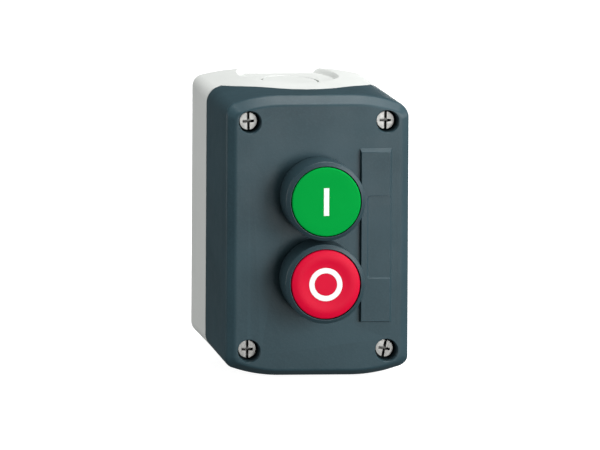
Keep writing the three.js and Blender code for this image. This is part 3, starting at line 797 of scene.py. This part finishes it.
def fixing_nut(colour):
    """A ring nut with eight notches round it and a thread inside."""
    low, high = seen_from_front(f"{colour}_fixing_nut")
    centre = HEADS[colour].xy
    outer = (high.x - low.x) / 2
    thread = 11.3
    corners = [(outer, low.z, 0.4), (outer, high.z, 0.4), (thread + 0.6, high.z, 0)]
    threads = 5
    step = (high.z - low.z - 1.2) / threads
    for i in range(threads):
        top = high.z - 0.6 - i * step
        corners += [(thread, top, 0), (thread + 0.5, top - step * 0.5, 0)]
    corners += [(thread, low.z + 0.6, 0), (thread + 0.6, low.z, 0)]
    body = turned(f"{colour}_fixing_nut_fine", corners, centre, 96)
    for i in range(8):
        turn = Matrix.Rotation((i + 0.84) / 8 * math.tau, 2)
        notch = []
        for x, y in ((outer - 1.1, -1.6), (outer + 1, -2), (outer + 1, 2), (outer - 1.1, 1.6)):
            notch.append(tuple(turn @ Vector((x, y)) + centre))
        cut(body, prism("notch", notch, low.z - 1, high.z + 1))
    return smooth(body)


def plunger(colour):
    low, high = seen_from_front(f"{colour}_plunger")
    centre = HEADS[colour].xy
    radius = (high.x - low.x) / 2
    under = high.z - 2.4
    return smooth(turned(f"{colour}_plunger_fine", [
        (0, low.z, 0), (2.5, low.z, 0.3), (3, low.z + 0.5, 0.3), (3, under - 0.8, 0.5), (4.2, under, 0.4),
        (radius, under, 0.3), (radius, high.z, 0.3), (3.2, high.z, 0.2), (2.6, high.z - 1.1, 0.2),
        (0, high.z - 1.1, 0)], centre, 64))


def terminal_screw(node_name):
    """A cheese-head clamp screw with a slot."""
    low, high = seen_from_front(node_name)
    centre = ((low + high) / 2).xy
    radius = (high.x - low.x) / 2
    seat = high.z - 2.3
    corners = [(0, low.z, 0), (1.2, low.z, 0.2)]
    pitch, turns = 0.6, int((seat - low.z - 1) / 0.6)
    for i in range(turns):
        z = low.z + 0.5 + i * pitch
        corners += [(1.3, z, 0), (1.7, z + pitch * 0.4, 0), (1.7, z + pitch * 0.5, 0),
                    (1.3, z + pitch * 0.9, 0)]
    corners += [(1.5, seat, 0.1), (radius, seat, 0.25), (radius, high.z, 0.5), (0, high.z, 0)]
    body = turned(node_name + "_fine", corners, centre, 48)
    cut(body, block("slot", (centre.x - 0.4, centre.y - radius - 1, high.z - 0.9),
                    (centre.x + 0.4, centre.y + radius + 1, high.z + 1)))
    return smooth(body)


def start_bar(name, low, high, grow=0.0, soft=0.0):
    from_low, from_high = seen_from_front("start_bar")
    middle = (from_low + from_high) / 2
    half_x = (from_high.x - from_low.x) / 2 + grow
    half_y = (from_high.y - from_low.y) / 2 + grow
    made = block(name, (middle.x - half_x, middle.y - half_y, low),
                 (middle.x + half_x, middle.y + half_y, high))
    if soft:
        rounded_edges(made, lambda edge: True, soft, 2)
    return made


def stop_ring(name, low, high, grow=0.0, soft=0.0):
    from_low, from_high = seen_from_front("stop_ring")
    outer = (from_high.x - from_low.x) / 2 + grow
    inner = outer - 2.1 - 2 * grow
    return turned(name, [(inner, low, soft), (outer, low, soft), (outer, high, soft), (inner, high, soft)],
                  HEADS["red"].xy, 128)


# ---------------------------------------------------------------- build

dressed(front_cover(), cover_plastic, "enclosure", "anthracite_plastic", "front_cover")
dressed(rear_base(), base_plastic, "enclosure", "light_grey_plastic", "rear_base")

for screw in SCREWS:
    dressed(cover_screw(screw), screw_zinc, "enclosure", "zinc_steel", f"cover_screw_{screw}")

for colour in HEADS:
    dressed(collar(colour), collar_plastic, "enclosure", "anthracite_plastic", f"{colour}_collar")

for colour, insert, insert_node, plastic in (
        ("green", start_bar, "start_bar", green_plastic), ("red", stop_ring, "stop_ring", red_plastic)):
    top = seen_from_front(f"{colour}_button_cap")[1].z - CAP_DISH[colour]
    pocket = insert(f"{colour}_pocket", top - INSERT_THICKNESS - 0.1, top + 1, -0.04)
    dressed(cap(colour, CAP_DISH[colour], CAP_FALL[colour], pocket), plastic, f"{colour}_button",
            f"{colour}_plastic", f"{colour}_button_cap")
    dressed(insert(f"{insert_node}_fine", top - INSERT_THICKNESS, top, -0.08, 0.06), white_plastic,
            f"{colour}_button", "white_plastic", insert_node)

for colour, joint in (("green", "start_press"), ("red", "stop_press")):
    spring = dressed(coil_spring(f"{colour}_return_spring", 0.45, 6), spring_steel, "enclosure",
                     "spring_steel", f"{colour}_return_spring")
    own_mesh(spring)
    dressed(fixing_nut(colour), nut_plastic, "enclosure", "dark_plastic", f"{colour}_fixing_nut")
    dressed(plunger(colour), nylon, f"{colour}_button", "natural_nylon", f"{colour}_plunger")
for contact in ("start", "stop"):
    spring = dressed(coil_spring(f"{contact}_contact_spring", 0.22, 5), spring_steel,
                     f"{contact}_contact_bridge", "spring_steel", f"{contact}_contact_spring")
    if contact == "start":
        # The plunger closes on the bridge as it goes in, so the spring between them gets shorter.
        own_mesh(spring)
    for side in ("left", "right"):
        screw_node = f"{contact}_terminal_screw_{side}"
        dressed(terminal_screw(screw_node), zinc, "enclosure", "zinc_steel", screw_node)

# The hidden pieces whose CAD solids are shown as they are.
INNER_MATERIALS = {
    "cover_gasket": rubber, "retaining_washer": nylon, "collar_gasket": rubber, "stem_seal": rubber,
    "contact_housing": black_plastic, "contact_plunger": nylon, "contact_bridge": brass, "terminal": brass,
}
for name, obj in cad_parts.items():
    if obj.hide_render:
        continue
    key = next(key for key in INNER_MATERIALS if key in name)
    obj.data.materials.clear()
    obj.data.materials.append(INNER_MATERIALS[key])

# ---------------------------------------------------------------- floor, light and camera

FLOOR_Z = -HALF_HEIGHT * MM
FLOOR_GLOW = 0.92
AMBIENT_STRENGTH = 0.09
LIGHT_AIM = (0, -0.05, 0)


def floor():
    mesh = bpy.data.meshes.new("floor")
    reach = 8
    mesh.from_pydata([(-reach, -reach, FLOOR_Z), (reach, -reach, FLOOR_Z), (reach, reach, FLOOR_Z),
                      (-reach, reach, FLOOR_Z)], [], [(0, 1, 2, 3)])
    made = bpy.data.objects.new("floor", mesh)
    scene.collection.objects.link(made)
    pale, _, shader, _ = blank_material("pale_floor")
    shader.inputs["Base Color"].default_value = (0.4, 0.4, 0.4, 1)
    shader.inputs["Roughness"].default_value = 0.9
    shader.inputs["Specular IOR Level"].default_value = 0.1
    shader.inputs["Emission Color"].default_value = (1, 1, 1, 1)
    shader.inputs["Emission Strength"].default_value = FLOOR_GLOW
    made.data.materials.append(pale)
    made.visible_diffuse = False
    made.visible_glossy = False
    made.visible_shadow = False


def softbox(name, spot, aim, width, height, power):
    """An area light at spot that faces aim, both in metres in the frame."""
    light = bpy.data.lights.new(name, "AREA")
    light.shape = "RECTANGLE"
    light.size, light.size_y = width, height
    light.energy = power
    made = bpy.data.objects.new(name, light)
    scene.collection.objects.link(made)
    made.location = spot
    made.rotation_mode = "QUATERNION"
    made.rotation_quaternion = (Vector(aim) - Vector(spot)).to_track_quat("-Z", "Y")


def studio_world():
    """A white backdrop, with weak ambient light."""
    world = bpy.data.worlds.new("studio")
    world.use_nodes = True
    tree = world.node_tree
    tree.nodes.clear()
    ambient = tree.nodes.new("ShaderNodeBackground")
    ambient.inputs["Color"].default_value = (1, 1, 1, 1)
    ambient.inputs["Strength"].default_value = AMBIENT_STRENGTH
    backdrop = tree.nodes.new("ShaderNodeBackground")
    backdrop.inputs["Color"].default_value = (1, 1, 1, 1)
    seen = tree.nodes.new("ShaderNodeLightPath")
    chosen = tree.nodes.new("ShaderNodeMixShader")
    tree.links.new(seen.outputs["Is Camera Ray"], chosen.inputs["Fac"])
    tree.links.new(ambient.outputs["Background"], chosen.inputs[1])
    tree.links.new(backdrop.outputs["Background"], chosen.inputs[2])
    surface = tree.nodes.new("ShaderNodeOutputWorld")
    tree.links.new(chosen.outputs["Shader"], surface.inputs["Surface"])
    scene.world = world
    scene.view_settings.view_transform = "Standard"


floor()
softbox("key", (0.78, -0.78, 0.27), LIGHT_AIM, 0.7, 0.7, 13.3)
softbox("overhead", (0.27, -0.1, 0.87), LIGHT_AIM, 0.6, 0.6, 10)
softbox("left_rear", (-0.93, 0.05, 0.1), LIGHT_AIM, 0.6, 0.6, 4.9)
softbox("left_front", (-0.8, -0.5, 0.3), LIGHT_AIM, 0.6, 0.6, 0.6)
softbox("low_front", (0.35, -0.95, -0.1), LIGHT_AIM, 0.5, 0.3, 3.1)
softbox("rear", (0.45, 0.95, -0.12), LIGHT_AIM, 0.6, 0.3, 3.5)
studio_world()

# The camera stands left of the station, above its middle and well in front of it. Its picture plane stays
# parallel to the station's face, as on a view camera with an upright back, so the face keeps its true
# shape. That is an offset of about 1.0 by 0.9 of the frame's width. The lens has no shift: the offset is a
# shear in the inverse matrix of the camera's parent, and a view that clears the parent loses it. The
# shear's first two axes run along the face and its third runs from the aim point to the camera.
CAMERA_LEFT = 226.7
CAMERA_UP = 200.7
CAMERA_AWAY = 753
AIM = (-6.75, 4.75)
FRAME_WIDTH = 220.3                     # width of the face plane that the picture takes in
LEAN_ACROSS = 0.0073
LEAN_UP = 0.0052


def camera():
    spot = place(-CAMERA_LEFT, CAMERA_UP, DEPTH + CAMERA_AWAY)
    back = spot - place(*AIM, DEPTH)
    lens = bpy.data.cameras.new("camera")
    lens.sensor_width = 36
    lens.lens = lens.sensor_width * back.length / (FRAME_WIDTH * MM)
    lens.clip_end = 100
    lens.dof.use_dof = False
    made = bpy.data.objects.new("camera", lens)
    rig = bpy.data.objects.new("camera_rig", None)
    scene.collection.objects.link(rig)
    scene.collection.objects.link(made)
    made.parent = rig
    across = Vector((1, 0, -LEAN_ACROSS)).normalized()
    up = Vector((-LEAN_UP, 0, 1)).normalized()
    axes = Matrix((across, up, back.normalized())).transposed().to_4x4()
    made.matrix_parent_inverse = Matrix.Translation(spot) @ axes
    scene.camera = made


camera()
